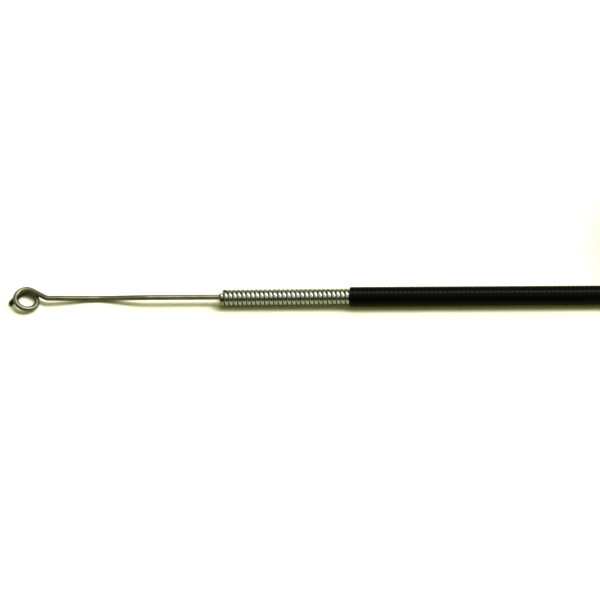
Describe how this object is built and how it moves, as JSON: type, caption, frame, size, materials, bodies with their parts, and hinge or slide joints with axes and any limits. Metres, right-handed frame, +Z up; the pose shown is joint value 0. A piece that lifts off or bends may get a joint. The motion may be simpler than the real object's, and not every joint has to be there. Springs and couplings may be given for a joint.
{
  "type": "heater control cable",
  "caption": "Push-pull control cable: steel wire with an eye at each end, sliding in a close-wound conduit under a black plastic jacket, spare length in a tied hank.",
  "frame": {"origin": "on the surface that the cable lies on, under the middle of the near inner wire and conduit seen from above", "axes": "+X runs from the near eye along the cable's straight end towards the hank, +Z is up from the surface it lies on"},
  "size_m": [0.3443, 0.0567, 0.0127],
  "materials": {
    "inner_wire": "drawn steel wire, satin and slightly dulled",
    "conduit": "bright zinc-plated round wire",
    "jacket": "extruded black plastic, satin, faintly rippled by the wire under it",
    "tie": "moulded black nylon"
  },
  "bodies": {
    "casing": {"near_conduit": "conduit", "near_jacket": "jacket", "jacket_hank": "jacket", "far_jacket": "jacket", "far_conduit": "conduit", "front_tie": "tie", "back_tie": "tie"},
    "near_wire": {"near_inner_wire": "inner_wire"},
    "far_wire": {"far_inner_wire": "inner_wire"}
  },
  "joints": [
    {"name": "near_wire_slide", "type": "slide", "parent": "casing", "child": "near_wire", "axis": [1, 0, 0], "range_m": [-0.019, 0.019]},
    {"name": "far_wire_slide", "type": "slide", "parent": "casing", "child": "far_wire", "axis": [1, 0, 0], "range_m": [-0.019, 0.019]}
  ],
  "couplings": [
    {"joint": "far_wire_slide", "follows": "near_wire_slide", "ratio": -1}
  ]
}
